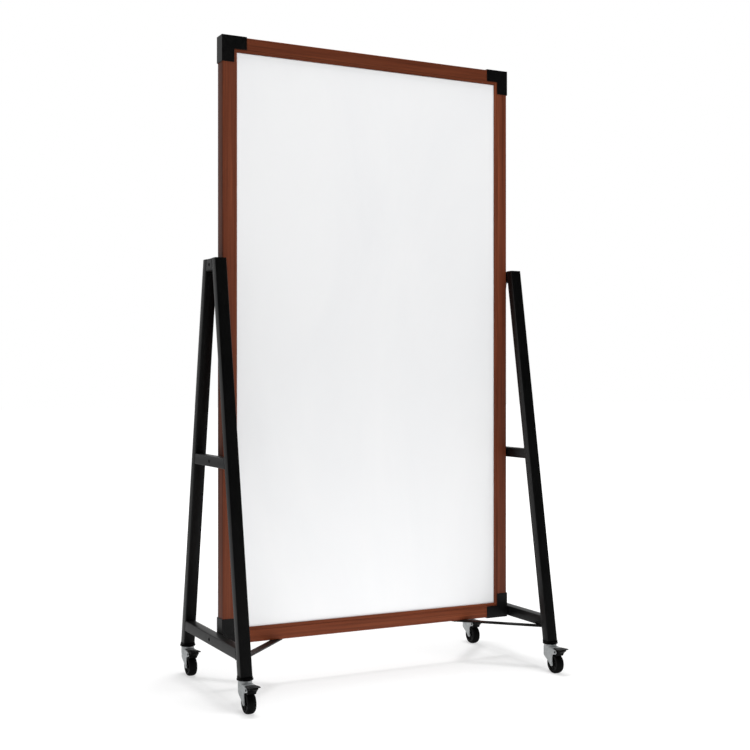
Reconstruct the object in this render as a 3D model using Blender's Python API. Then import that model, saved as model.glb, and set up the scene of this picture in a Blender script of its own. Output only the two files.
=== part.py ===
"""Rolling whiteboard: a framed double-sided board, held between two A-frames on four braked swivel casters.

Metres, +Z up. X runs across the board, and the viewer stands at -Y. The origin is on the floor, under the
centre of the footprint. All four casters trail towards -Y, so the board's own plane stands a little behind
the origin, at BOARD_PLANE_Y.
"""

import math

import bmesh
import bpy
from mathutils import Matrix

# ---- driving dimensions ---------------------------------------------------------------------------------
GAP = 0.0003  # clearance left between neighbouring pieces

BOARD_WIDTH = 0.960
BOARD_BOTTOM_Z = 0.1335
BOARD_TOP_Z = 1.871
FRAME_THICKNESS = 0.041  # in Y
FRAME_FACE = 0.0345  # the frame's main face, seen from the front
LIP_WIDTH = 0.0100  # the narrow inner step that holds the panels
LIP_STEP = 0.0020  # how far the lip lies behind the main face
PANEL_DEPTH = 0.0060  # how far the writing surface lies behind the main face
FRAME_ROUND = 0.0028  # radius of the frame's outer edges
GROOVE_DEPTH = 0.0085  # how far the panels' edges go in behind the lip
SKIN = 0.0006  # thickness of each steel writing skin
SKIN_STEP = 0.0002  # how far a skin's rim is pressed back, to go in behind the lip

CAP_ARM = 0.076
CAP_SIDE_PROUD = 0.0023
CAP_FACE_PROUD = 0.0015
CAP_OVERHANG = 0.0009  # how far the cap's face reaches past the main face, over the lip

OVERALL_WIDTH = 1.0265  # across the two A-frames
LEG_WIDTH = 0.0338  # in X
LEG_DEPTH = 0.0300  # across a leg, in the plane of its A-frame
BAR_WIDTH = 0.0300  # in X; the bars lie flush with the legs' outer faces
TUBE_WALL = 0.0015
TUBE_CORNER = 0.0026
LEAN = math.radians(10.0)
APEX_Z = 1.2345
APEX_LEG_Y = 0.0360  # from the board's plane to a leg's centreline, at the apex
TOP_BAR_Z = (1.200, APEX_Z)
MID_BAR_Z = (0.642, 0.672)
LOWER_BAR_Z = (0.1345, 0.165)

BOLT_RADIUS = 0.0030
BOLT_HEAD_RADIUS = 0.0046
BOLT_HEAD_HEIGHT = 0.0045
ACCESS_RADIUS = 0.0053
BOLT_BITE = 0.028  # how far a bolt goes into the board's frame

BRACE_WIDTH = 0.025
BRACE_THICKNESS = 0.004
BRACE_BAR_Y = 0.200  # where each arm of a brace ends, under the lower bar
BRACE_RAIL_X = 0.300  # where the two arms meet, under the bottom rail
SCREW_RADIUS = 0.0022
SCREW_HEAD_RADIUS = 0.0045
SCREW_HEAD_HEIGHT = 0.0022
SCREW_BITE = 0.018

FLANGE_RADIUS = 0.0227
FLANGE_Z = (0.0858, 0.0893)
PLUG_HEIGHT = 0.030
COLLAR_TOP_Z = 0.0955  # the flange flares up to a thin collar round the leg's end
COLLAR_WALL = 0.0012
STEM_TOP_Z = 0.112
STEM_RADIUS = 0.0045
STEM_HEAD_RADIUS = 0.0080
STEM_HEAD_HEIGHT = 0.0032

CROWN_RADIUS = 0.0205
CROWN_Z = (0.0615, 0.0855)
CROWN_WALL = 0.0018
CROWN_TOP = 0.0020
FORK_HALF_WIDTH = 0.0155
FORK_PLATE = 0.0018
FORK_FOOT = (-0.0268, 0.0300, 0.0070)  # the rounded end of a fork leg: y, z, radius
FORK_BRIDGE_Y = -0.0340  # the fork's top plate ends here, to leave room for the pedal

WHEEL_RADIUS = 0.030
WHEEL_TRAIL = 0.0275
WHEEL_HALF_WIDTH = 0.0125
HUB_RADIUS = 0.0222
HUB_BOSS_RADIUS = 0.0060
AXLE_RADIUS = 0.0025
RIVET_RADIUS = 0.0045

EAR_RADIUS = 0.0066
PEDAL_PIVOT_Y = -0.0455
PEDAL_PIVOT_Z = 0.0680
PEDAL_BACK_Y = -0.0365
PEDAL_WIDEST_Y = -0.0600
PEDAL_TOE_Y = -0.0715
PEDAL_BACK_HALF_WIDTH = 0.0135
PEDAL_HALF_WIDTH = 0.0175
PEDAL_TOP_Z = (0.0785, 0.0795)  # at its back end and at its toe
PEDAL_PLATE = 0.0024
PEDAL_CORNER = 0.0035
PEDAL_BODY_HALF_WIDTH = 0.0122
TRUNNION_RADIUS = 0.0027

ROUND_STEPS = 32  # facets round a wheel
PIN_STEPS = 16  # facets round a pin or a hole

# ---- derived places -------------------------------------------------------------------------------------
HALF_BOARD = BOARD_WIDTH / 2
HALF_THICKNESS = FRAME_THICKNESS / 2
FRAME_TOTAL = FRAME_FACE + LIP_WIDTH
GROOVE_BOTTOM = FRAME_TOTAL - GROOVE_DEPTH
PANEL_HALF_THICKNESS = HALF_THICKNESS - PANEL_DEPTH
LEG_HALF_WIDTH = LEG_WIDTH / 2
LEG_HALF_DEPTH = LEG_DEPTH / 2 / math.cos(LEAN)  # measured horizontally
LEG_X = OVERALL_WIDTH / 2 - LEG_HALF_WIDTH
BAR_HALF_WIDTH = BAR_WIDTH / 2
BAR_X = OVERALL_WIDTH / 2 - BAR_HALF_WIDTH
LEG_FOOT_Z = FLANGE_Z[1] + GAP
BAR_BOLT_Z = [sum(span) / 2 for span in (TOP_BAR_Z, MID_BAR_Z, LOWER_BAR_Z)]
BOARD_PLANE_Y = (-PEDAL_TOE_Y - FLANGE_RADIUS) / 2
BRACE_TOP_Z = BOARD_BOTTOM_Z - GAP


def leg_centre_y(z):
    """How far a leg's centreline is from the board's plane, at height z."""
    return APEX_LEG_Y + (APEX_Z - z) * math.tan(LEAN)


CASTER_Y = leg_centre_y(LEG_FOOT_Z)


# ---- scene and materials --------------------------------------------------------------------------------
def clear_scene():
    for old in list(bpy.data.objects):
        bpy.data.objects.remove(old, do_unlink=True)


def make_material(name, colour, roughness, metallic=0.0):
    material = bpy.data.materials.new(name)
    material.use_nodes = True
    shader = material.node_tree.nodes["Principled BSDF"]
    shader.inputs["Base Color"].default_value = (*colour, 1.0)
    shader.inputs["Roughness"].default_value = roughness
    shader.inputs["Metallic"].default_value = metallic
    return material


def make_materials():
    return {
        "white": make_material("white_enamel", (0.86, 0.86, 0.87), 0.25),
        "core": make_material("core_board", (0.45, 0.33, 0.20), 0.9),
        "wood": make_material("wood_laminate", (0.155, 0.040, 0.020), 0.45),
        "cap": make_material("black_cap_plastic", (0.008, 0.008, 0.008), 0.5),
        "frame": make_material("black_powder_coat", (0.010, 0.010, 0.010), 0.5),
        "bolt": make_material("black_oxide_steel", (0.020, 0.020, 0.020), 0.4, 1.0),
        "plug": make_material("black_plug_plastic", (0.006, 0.006, 0.006), 0.55),
        "zinc": make_material("zinc_plate", (0.55, 0.57, 0.57), 0.35, 1.0),
        "hub": make_material("black_wheel_plastic", (0.010, 0.010, 0.010), 0.5),
        "tyre": make_material("black_tread_rubber", (0.012, 0.012, 0.012), 0.7),
        "pedal": make_material("black_pedal_plastic", (0.014, 0.014, 0.014), 0.45),
    }


# ---- mesh helpers ---------------------------------------------------------------------------------------
def finish_mesh(bm, name, smooth_angle=None):
    bmesh.ops.remove_doubles(bm, verts=bm.verts, dist=1e-7)
    bmesh.ops.recalc_face_normals(bm, faces=bm.faces)
    mesh = bpy.data.meshes.new(name)
    bm.to_mesh(mesh)
    bm.free()
    if smooth_angle is not None:
        mesh.shade_smooth()
        mesh.set_sharp_from_angle(angle=math.radians(smooth_angle))
    return mesh


def bridge(bm, ring_a, ring_b):
    """Quads between two rings that have the same number of points."""
    count = len(ring_a)
    for i in range(count):
        j = (i + 1) % count
        bm.faces.new((ring_a[i], ring_a[j], ring_b[j], ring_b[i]))


def loft(name, rings, smooth_angle=None):
    """A solid through rings of points, closed at both ends."""
    bm = bmesh.new()
    placed = [[bm.verts.new(point) for point in ring] for ring in rings]
    for ring_a, ring_b in zip(placed, placed[1:]):
        bridge(bm, ring_a, ring_b)
    bm.faces.new(placed[0])
    bm.faces.new(placed[-1])
    return finish_mesh(bm, name, smooth_angle)


def prism(name, outline, axis, low, high, smooth_angle=None):
    """An outline pushed along an axis. Its two numbers are the other two axes, in X, Y, Z order."""
    along = "XYZ".index(axis)
    rings = []
    for place in (low, high):
        rings.append([(*point[:along], place, *point[along:]) for point in outline])
    return loft(name, rings, smooth_angle)


def tube(name, outer_rings, inner_rings, closed_end=False, smooth_angle=40):
    """A hollow section between two stations. The far end can be closed by its own wall."""
    bm = bmesh.new()
    outer_start, outer_end = ([bm.verts.new(p) for p in ring] for ring in outer_rings)
    inner_start, inner_end = ([bm.verts.new(p) for p in ring] for ring in inner_rings)
    bridge(bm, outer_start, outer_end)
    bridge(bm, inner_start, inner_end)
    bridge(bm, outer_start, inner_start)
    if closed_end:
        bm.faces.new(outer_end)
        bm.faces.new(inner_end)
    else:
        bridge(bm, outer_end, inner_end)
    return finish_mesh(bm, name, smooth_angle)


def turned(name, profile, steps, axis="Z", smooth_angle=35):
    """A closed profile of (radius, height) points turned about an axis. Radius 0 closes it on the axis."""
    bm = bmesh.new()
    rings = []
    for radius, height in profile:
        if radius == 0:
            rings.append([bm.verts.new((0, 0, height))])
            continue
        angles = [2 * math.pi * i / steps for i in range(steps)]
        rings.append([bm.verts.new((radius * math.cos(a), radius * math.sin(a), height)) for a in angles])
    for ring_a, ring_b in zip(rings, rings[1:] + rings[:1]):
        if len(ring_a) == 1 and len(ring_b) == 1:
            continue
        for i in range(steps):
            j = (i + 1) % steps
            places = ((ring_a, i), (ring_a, j), (ring_b, j), (ring_b, i))
            corners = [ring[k % len(ring)] for ring, k in places]
            bm.faces.new(list(dict.fromkeys(corners)))
    if axis == "X":
        bmesh.ops.rotate(bm, verts=bm.verts, matrix=Matrix.Rotation(math.radians(90), 3, "Y"))
    return finish_mesh(bm, name, smooth_angle)


def arc(centre, radius, start_deg, end_deg, steps):
    """Points along an arc, both ends included."""
    points = []
    for i in range(steps + 1):
        angle = math.radians(start_deg + (end_deg - start_deg) * i / steps)
        points.append((centre[0] + radius * math.cos(angle), centre[1] + radius * math.sin(angle)))
    return points


def mirrored_profile(half):
    """A turned profile that is the same on both sides of height 0, from its upper half."""
    return half + [(radius, -height) for radius, height in reversed(half)]


def rounded_rectangle(half_width, half_height, radius, steps=3):
    corners = ((1, 1, 0), (-1, 1, 90), (-1, -1, 180), (1, -1, 270))
    points = []
    for side, up, start in corners:
        centre = (side * (half_width - radius), up * (half_height - radius))
        points += arc(centre, radius, start, start + 90, steps)
    return points


# ---- object helpers -------------------------------------------------------------------------------------
def add_object(name, mesh, material=None, parent=None, location=(0, 0, 0), turn_z=0.0):
    obj = bpy.data.objects.new(name, mesh)
    bpy.context.scene.collection.objects.link(obj)
    if material is not None and not mesh.materials:
        mesh.materials.append(material)
    obj.parent = parent
    obj.location = location
    obj.rotation_euler = (0, 0, turn_z)
    return obj


def add_axis(name, parent, location):
    """An empty that stands on a joint's axis and carries what turns there."""
    return add_object(name, None, parent=parent, location=location)


def combined(name, blank, steps, smooth_angle=35):
    """One mesh from a blank and a list of (operation, mesh) steps, worked out with exact Booleans."""
    body = add_object(name, blank)
    tools = []
    for index, (operation, mesh) in enumerate(steps):
        tool = add_object(f"{name}_tool_{index}", mesh)
        tool.hide_render = True
        tool.display_type = "WIRE"
        modifier = body.modifiers.new(f"step_{index}", "BOOLEAN")
        modifier.operation = operation
        modifier.solver = "EXACT"
        modifier.object = tool
        tools.append(tool)
    depsgraph = bpy.context.evaluated_depsgraph_get()
    mesh = bpy.data.meshes.new_from_object(body.evaluated_get(depsgraph))
    mesh.materials.clear()
    mesh.shade_smooth()
    mesh.set_sharp_from_angle(angle=math.radians(smooth_angle))
    for helper in [body, *tools]:
        bpy.data.objects.remove(helper, do_unlink=True)
    mesh.name = name
    return mesh


def rod(name, radius, axis, low, high, across=(0, 0)):
    """A plain cutter or pin blank along an axis; across is its place in the other two axes."""
    circle = arc(across, radius, 0, 360 * (1 - 1 / PIN_STEPS), PIN_STEPS - 1)
    return prism(name, circle, axis, low, high, smooth_angle=35)


# ---- the board ------------------------------------------------------------------------------------------
def frame_section():
    """The frame member's section: (distance inwards from the outer edge, y). Lips and groove face inwards."""
    half = arc((FRAME_ROUND, HALF_THICKNESS - FRAME_ROUND), FRAME_ROUND, 180, 90, 3)
    half += [
        (FRAME_FACE, HALF_THICKNESS),
        (FRAME_FACE, HALF_THICKNESS - LIP_STEP),
        (FRAME_TOTAL, HALF_THICKNESS - LIP_STEP),
        (FRAME_TOTAL, PANEL_HALF_THICKNESS + GAP),
        (GROOVE_BOTTOM, PANEL_HALF_THICKNESS + GAP),
    ]
    return half + [(inward, -y) for inward, y in reversed(half)]


def stile_mesh():
    """The right-hand stile, mitred at both ends, with a bore for each bolt."""
    mitre_gap = GAP / 2
    ends = []
    for base, sign in ((BOARD_BOTTOM_Z, 1), (BOARD_TOP_Z, -1)):
        ends.append([(HALF_BOARD - d, y, base + sign * (d + mitre_gap)) for d, y in frame_section()])
    blank = loft("stile_blank", ends)
    bottom = HALF_BOARD - BOLT_BITE - GAP
    bores = []
    for z in BAR_BOLT_Z:
        bore = rod("bolt_bore", BOLT_RADIUS + GAP, "X", bottom, HALF_BOARD + 0.01, (0, z))
        bores.append(("DIFFERENCE", bore))
    return combined("stile", blank, bores)


def rail_mesh(name, base_z, inward_sign, cutters):
    """A rail from stile to stile, mitred at both ends. inward_sign points from its outer edge inwards."""
    mitre_gap = GAP / 2
    ends = []
    for side in (-1, 1):
        ends.append(
            [(side * (HALF_BOARD - d - mitre_gap), y, base_z + inward_sign * d) for d, y in frame_section()]
        )
    blank = loft(f"{name}_blank", ends)
    return combined(name, blank, [("DIFFERENCE", cutter) for cutter in cutters])


def bottom_rail_mesh():
    cutters = []
    for side in (-1, 1):
        ends = sorted((side * (HALF_BOARD - BOLT_BITE - GAP), side * (HALF_BOARD + 0.01)))
        cutters.append(rod("bolt_bore", BOLT_RADIUS + GAP, "X", *ends, (0, BAR_BOLT_Z[2])))
        heights = (BOARD_BOTTOM_Z - 0.01, BRACE_TOP_Z + SCREW_BITE + GAP)
        cutters.append(rod("screw_bore", SCREW_RADIUS + GAP, "Z", *heights, (side * BRACE_RAIL_X, 0)))
    return rail_mesh("bottom_rail", BOARD_BOTTOM_Z, 1, cutters)


def sheet_outline(inset, y):
    """The corners of a sheet whose edges lie inset inside the board's outer edges."""
    x = HALF_BOARD - inset
    bottom = BOARD_BOTTOM_Z + inset
    top = BOARD_TOP_Z - inset
    return [(-x, y, bottom), (x, y, bottom), (x, y, top), (-x, y, top)]


def core_mesh():
    """The light sheet that fills the board, with its edges in the frame's groove."""
    half = PANEL_HALF_THICKNESS - SKIN - GAP
    edge = GROOVE_BOTTOM + GAP
    return loft("board_core", [sheet_outline(edge, -half), sheet_outline(edge, half)])


def skin_mesh():
    """The front writing skin: a flat face as wide as the opening, and a rim that goes in behind the lip."""
    face_y = -PANEL_HALF_THICKNESS
    rim_y = face_y + SKIN_STEP
    rim = GROOVE_BOTTOM + GAP
    face = FRAME_TOTAL + GAP
    rings = [
        sheet_outline(face, face_y),
        sheet_outline(face, rim_y),
        sheet_outline(rim, rim_y),
        sheet_outline(rim, face_y + SKIN),
    ]
    return loft("writing_skin", rings)


def cap_mesh(name, corner_z, down_sign, bolted):
    """A right-hand corner cap: a U-shaped section led both ways from the corner, with a mitred bend."""
    face_y = HALF_THICKNESS + CAP_FACE_PROUD
    inner_y = HALF_THICKNESS + GAP
    reach = FRAME_FACE + CAP_OVERHANG
    half = [(-CAP_SIDE_PROUD, face_y), (reach, face_y), (reach, inner_y), (-GAP, inner_y)]
    section = half + [(inward, -y) for inward, y in reversed(half)]
    arm = CAP_ARM - CAP_SIDE_PROUD
    rings = [
        [(HALF_BOARD - arm, y, corner_z + down_sign * d) for d, y in section],
        [(HALF_BOARD - d, y, corner_z + down_sign * d) for d, y in section],
        [(HALF_BOARD - d, y, corner_z + down_sign * arm) for d, y in section],
    ]
    blank = loft(f"{name}_blank", rings)
    if not bolted:
        return blank
    ends = (HALF_BOARD - 0.01, HALF_BOARD + 0.01)
    hole = rod("cap_bolt_hole", BOLT_RADIUS + GAP, "X", *ends, (0, BAR_BOLT_Z[2]))
    return combined(name, blank, [("DIFFERENCE", hole)])


def build_board(materials, stand):
    skin = skin_mesh()
    add_object("front_panel", skin, materials["white"], stand)
    add_object("board_core", core_mesh(), materials["core"], stand)
    add_object("rear_panel", skin, materials["white"], stand, turn_z=math.pi)

    stile = stile_mesh()
    add_object("right_stile", stile, materials["wood"], stand)
    add_object("left_stile", stile, materials["wood"], stand, turn_z=math.pi)
    add_object("top_rail", rail_mesh("top_rail", BOARD_TOP_Z, -1, []), materials["wood"], stand)
    add_object("bottom_rail", bottom_rail_mesh(), materials["wood"], stand)

    caps = (
        ("top", cap_mesh("top_cap", BOARD_TOP_Z, -1, bolted=False)),
        ("bottom", cap_mesh("bottom_cap", BOARD_BOTTOM_Z, 1, bolted=True)),
    )
    for level, mesh in caps:
        add_object(f"{level}_right_cap", mesh, materials["cap"], stand)
        add_object(f"{level}_left_cap", mesh, materials["cap"], stand, turn_z=math.pi)


# ---- the A-frames ---------------------------------------------------------------------------------------
def leg_mesh():
    """The front leg, about its A-frame's upright axis: a tube cut level at both ends, closed at the apex."""
    outer = rounded_rectangle(LEG_HALF_WIDTH, LEG_HALF_DEPTH, TUBE_CORNER)
    inner = rounded_rectangle(
        LEG_HALF_WIDTH - TUBE_WALL, LEG_HALF_DEPTH - TUBE_WALL / math.cos(LEAN), TUBE_CORNER - TUBE_WALL
    )

    def ring(section, z):
        return [(x, y - leg_centre_y(z), z) for x, y in section]

    return tube(
        "leg",
        (ring(outer, LEG_FOOT_Z), ring(outer, APEX_Z)),
        (ring(inner, LEG_FOOT_Z), ring(inner, APEX_Z - TUBE_WALL)),
        closed_end=True,
    )


def bar_mesh(name, span_z):
    """A cross tube between the legs, with its ends cut to their slope. The bolt's access hole faces +X."""
    half_height = (span_z[1] - span_z[0]) / 2
    middle = sum(span_z) / 2
    outer = rounded_rectangle(BAR_HALF_WIDTH, half_height, TUBE_CORNER)
    inner = rounded_rectangle(BAR_HALF_WIDTH - TUBE_WALL, half_height - TUBE_WALL, TUBE_CORNER - TUBE_WALL)

    def ring(section, side):
        reach = [leg_centre_y(middle + up) - LEG_HALF_DEPTH - GAP for _, up in section]
        return [(x, side * y, middle + up) for (x, up), y in zip(section, reach)]

    blank = tube(f"{name}_blank", (ring(outer, -1), ring(outer, 1)), (ring(inner, -1), ring(inner, 1)))
    cutters = [
        ("DIFFERENCE", rod("access_hole", ACCESS_RADIUS, "X", 0, BAR_WIDTH, (0, middle))),
        ("DIFFERENCE", rod("bolt_hole", BOLT_RADIUS + GAP, "X", -BAR_WIDTH, 0, (0, middle))),
    ]
    return combined(name, blank, cutters, smooth_angle=40)


def bolt_mesh():
    """A socket-head bolt along X about z = 0. Its head lies inside the bar, against its inner wall."""
    seat = -BAR_HALF_WIDTH + TUBE_WALL + GAP
    tip = HALF_BOARD - BOLT_BITE - BAR_X
    socket = BOLT_HEAD_RADIUS * 0.55
    profile = [
        (0, tip),
        (BOLT_RADIUS, tip),
        (BOLT_RADIUS, seat),
        (BOLT_HEAD_RADIUS, seat),
        (BOLT_HEAD_RADIUS, seat + BOLT_HEAD_HEIGHT),
        (socket, seat + BOLT_HEAD_HEIGHT),
        (socket, seat + BOLT_HEAD_HEIGHT / 2),
        (0, seat + BOLT_HEAD_HEIGHT / 2),
    ]
    return turned("bolt", profile, PIN_STEPS, axis="X")


def brace_mesh():
    """The right-hand brace: two flat arms that meet in a V under the bottom rail, about the V's point."""
    run_x = BAR_X - BRACE_RAIL_X
    length = math.hypot(run_x, BRACE_BAR_Y)
    half = BRACE_WIDTH / 2
    low = BRACE_TOP_Z - BRACE_THICKNESS
    arm_outline = [(0, -half), (length, -half), (length, half), (0, half)]
    steps = []
    for turn in (1, -1):
        arm = prism("brace_arm", arm_outline, "Z", low, BRACE_TOP_Z)
        arm.transform(Matrix.Rotation(turn * math.atan2(BRACE_BAR_Y, run_x), 4, "Z"))
        steps.append(("UNION", arm))
    hole = rod("brace_hole", SCREW_RADIUS + GAP, "Z", low - BRACE_THICKNESS, BRACE_TOP_Z + BRACE_THICKNESS)
    point = prism("brace_point", arc((0, 0), half, 0, 345, 23), "Z", low, BRACE_TOP_Z)
    return combined("brace", point, steps + [("DIFFERENCE", hole)])


def screw_mesh():
    """A pan-head screw that points up through the brace into the bottom rail."""
    seat = BRACE_TOP_Z - BRACE_THICKNESS - GAP
    profile = [
        (0, seat - SCREW_HEAD_HEIGHT),
        (SCREW_HEAD_RADIUS * 0.7, seat - SCREW_HEAD_HEIGHT),
        (SCREW_HEAD_RADIUS, seat - SCREW_HEAD_HEIGHT * 0.4),
        (SCREW_HEAD_RADIUS, seat),
        (SCREW_RADIUS, seat),
        (SCREW_RADIUS, BRACE_TOP_Z + SCREW_BITE),
        (0, BRACE_TOP_Z + SCREW_BITE),
    ]
    return turned("brace_screw", profile, PIN_STEPS)


def build_a_frames(materials, stand):
    leg = leg_mesh()
    bolt = bolt_mesh()
    bars = [
        ("top", bar_mesh("top_bar", TOP_BAR_Z), BAR_BOLT_Z[0]),
        ("mid", bar_mesh("mid_bar", MID_BAR_Z), BAR_BOLT_Z[1]),
        ("lower", bar_mesh("lower_bar", LOWER_BAR_Z), BAR_BOLT_Z[2]),
    ]
    for side, sign, turn in (("right", 1, 0.0), ("left", -1, math.pi)):
        leg_place = (sign * LEG_X, 0, 0)
        add_object(f"{side}_front_leg", leg, materials["frame"], stand, leg_place)
        add_object(f"{side}_rear_leg", leg, materials["frame"], stand, leg_place, turn_z=math.pi)
        for level, bar, bolt_z in bars:
            add_object(f"{side}_{level}_bar", bar, materials["frame"], stand, (sign * BAR_X, 0, 0), turn)
            bolt_place = (sign * BAR_X, 0, bolt_z)
            add_object(f"{side}_{level}_bolt", bolt, materials["bolt"], stand, bolt_place, turn)


def build_braces(materials, stand):
    brace = brace_mesh()
    screw = screw_mesh()
    for side, sign, turn in (("left", -1, math.pi), ("right", 1, 0.0)):
        place = (sign * BRACE_RAIL_X, 0, 0)
        add_object(f"{side}_brace", brace, materials["frame"], stand, place, turn)
        add_object(f"{side}_brace_screw", screw, materials["bolt"], stand, place)


# ---- the casters, each about its own swivel axis ---------------------------------------------------------
def squared_ring(half_x, half_y, squareness, steps):
    """Points round a superellipse: an ellipse at squareness 2, and close to a rectangle at 8 or more."""
    points = []
    for i in range(steps):
        angle = 2 * math.pi * i / steps
        cosine, sine = math.cos(angle), math.sin(angle)
        reach = (abs(cosine / half_x) ** squareness + abs(sine / half_y) ** squareness) ** (-1 / squareness)
        points.append((reach * cosine, reach * sine))
    return points


def flange_mesh():
    """The plug's round flange, which flares up to a squared collar round the leg's end. For a front leg."""
    collar_x = LEG_HALF_WIDTH + COLLAR_WALL
    collar_y = LEG_HALF_DEPTH + COLLAR_WALL
    edge = 0.0008
    stations = (
        (FLANGE_Z[0], 2.0, 0.0, -edge),
        (FLANGE_Z[0] + edge, 2.0, 0.0, 0.0),
        (FLANGE_Z[1] - edge, 2.0, 0.0, 0.0),
        (FLANGE_Z[1] + edge, 2.6, 0.45, 0.0),
        (FLANGE_Z[1] + 3 * edge, 4.0, 0.85, 0.0),
        (COLLAR_TOP_Z, 9.0, 1.0, 0.0),
    )
    rings = []
    for z, squareness, squared, grow in stations:
        half_x = FLANGE_RADIUS + (collar_x - FLANGE_RADIUS) * squared + grow
        half_y = FLANGE_RADIUS + (collar_y - FLANGE_RADIUS) * squared + grow
        shift = (CASTER_Y - leg_centre_y(z)) * squared
        ring = squared_ring(half_x, half_y, squareness, ROUND_STEPS)
        rings.append([(x, y + shift, z) for x, y in ring])
    return loft("plug_flange", rings)


def plug_mesh():
    """A flange with a collar round the leg's end, and a body that leans with the leg and fills its bore."""
    tube_half_depth = LEG_HALF_DEPTH - TUBE_WALL / math.cos(LEAN) - GAP
    body_section = rounded_rectangle(
        LEG_HALF_WIDTH - TUBE_WALL - GAP, tube_half_depth, TUBE_CORNER - TUBE_WALL
    )
    socket_section = rounded_rectangle(LEG_HALF_WIDTH + GAP, LEG_HALF_DEPTH + GAP, TUBE_CORNER + GAP)

    def leaning(name, section, low, high):
        rings = [[(x, y + CASTER_Y - leg_centre_y(z), z) for x, y in section] for z in (low, high)]
        return loft(name, rings)

    bore = rod("stem_bore", STEM_RADIUS + GAP, "Z", FLANGE_Z[0] - 0.01, STEM_TOP_Z + 0.001)
    steps = [
        ("DIFFERENCE", leaning("leg_socket", socket_section, FLANGE_Z[1], COLLAR_TOP_Z + 0.01)),
        ("UNION", leaning("plug_body", body_section, FLANGE_Z[1] - 0.001, LEG_FOOT_Z + PLUG_HEIGHT)),
        ("DIFFERENCE", bore),
    ]
    return combined("leg_plug", flange_mesh(), steps)


def stem_mesh():
    """The swivel stem. Its head hangs under the fork's crown, and its shank goes up into the plug."""
    head_top = CROWN_Z[1] - CROWN_TOP - GAP
    head_bottom = head_top - STEM_HEAD_HEIGHT
    edge = 0.001
    profile = [
        (0, head_bottom),
        (STEM_HEAD_RADIUS - 1.5 * edge, head_bottom),
        (STEM_HEAD_RADIUS, head_bottom + edge),
        (STEM_HEAD_RADIUS, head_top),
        (STEM_RADIUS, head_top),
        (STEM_RADIUS, STEM_TOP_Z - edge),
        (STEM_RADIUS - edge, STEM_TOP_Z),
        (0, STEM_TOP_Z),
    ]
    return turned("stem", profile, PIN_STEPS)


def fork_side_outline():
    """The fork from its side, as (y, z): each leg falls forwards to the axle, and an ear holds the pedal."""
    foot_y, foot_z, foot_radius = FORK_FOOT
    back = [
        (-0.0150, 0.0842),
        (0.0125, 0.0842),
        (0.0125, 0.0560),
        (0.0120, 0.0512),
        (0.0040, 0.0448),
        (-0.0075, 0.0375),
        (-0.0165, 0.0300),
    ]
    foot = arc((foot_y, foot_z), foot_radius, -45, -175, 7)
    front = [(-0.0318, 0.0370), (-0.0310, 0.0465), (-0.0318, 0.0550), (-0.0350, 0.0590)]
    ear = arc((PEDAL_PIVOT_Y, PEDAL_PIVOT_Z), EAR_RADIUS, -80, -270, 10)
    bridge_top = [(-0.0368, PEDAL_PIVOT_Z + EAR_RADIUS), (FORK_BRIDGE_Y, 0.0780), (-0.0205, 0.0825)]
    return back + foot + front + ear + bridge_top


def fork_room_mesh():
    """The space inside the fork for the wheel and the stem's head, with an arc inside the crown's back."""
    inner_half = FORK_HALF_WIDTH - FORK_PLATE
    crown_inner = CROWN_RADIUS - CROWN_WALL
    roof = [(-0.0300, 0.0765), (-0.0185, 0.0805), (-0.0160, CROWN_Z[1] - CROWN_TOP)]
    side = [(0.05, 0), (-0.10, 0), (-0.10, roof[0][1])] + roof + [(0.05, roof[-1][1])]
    back_angle = math.degrees(math.acos(inner_half / crown_inner))
    plan = [(-inner_half, -0.12), (inner_half, -0.12)]
    plan += arc((0, 0), crown_inner, back_angle, 180 - back_angle, 8)
    return combined(
        "fork_room", prism("fork_room_side", side, "X", -0.03, 0.03),
        [("INTERSECT", prism("fork_room_plan", plan, "Z", -0.01, 0.12))],
    )


def fork_mesh():
    """A pressed fork: a round crown on two side plates, bored for the stem, the axle and the pedal."""
    edge = 0.0008
    crown = turned(
        "fork_crown",
        [
            (0, CROWN_Z[0]),
            (CROWN_RADIUS, CROWN_Z[0]),
            (CROWN_RADIUS, CROWN_Z[1] - edge),
            (CROWN_RADIUS - edge, CROWN_Z[1]),
            (0, CROWN_Z[1]),
        ],
        ROUND_STEPS,
    )
    inner_half = FORK_HALF_WIDTH - FORK_PLATE
    window = [(-inner_half, -0.12), (inner_half, -0.12)]
    window += [(inner_half, FORK_BRIDGE_Y), (-inner_half, FORK_BRIDGE_Y)]
    axle_place = (-WHEEL_TRAIL, WHEEL_RADIUS)
    pivot_place = (PEDAL_PIVOT_Y, PEDAL_PIVOT_Z)
    steps = [
        ("UNION", crown),
        ("DIFFERENCE", fork_room_mesh()),
        ("DIFFERENCE", prism("pedal_window", window, "Z", 0.07, 0.12)),
        ("DIFFERENCE", rod("stem_hole", STEM_RADIUS + GAP, "Z", 0.07, 0.12)),
        ("DIFFERENCE", rod("axle_hole", AXLE_RADIUS + GAP, "X", -0.05, 0.05, axle_place)),
        ("DIFFERENCE", rod("ear_hole", TRUNNION_RADIUS + GAP, "X", -0.05, 0.05, pivot_place)),
    ]
    blank = prism("fork_blank", fork_side_outline(), "X", -FORK_HALF_WIDTH, FORK_HALF_WIDTH)
    return combined("fork", blank, steps)


def axle_mesh():
    """A riveted axle along X, with a low dome at each end."""
    shoulder = FORK_HALF_WIDTH + GAP
    half = [
        (AXLE_RADIUS, shoulder),
        (RIVET_RADIUS, shoulder),
        (RIVET_RADIUS * 0.85, shoulder + 0.0009),
        (0, shoulder + 0.0013),
    ]
    return turned("axle", mirrored_profile(half), PIN_STEPS, axis="X")


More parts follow.
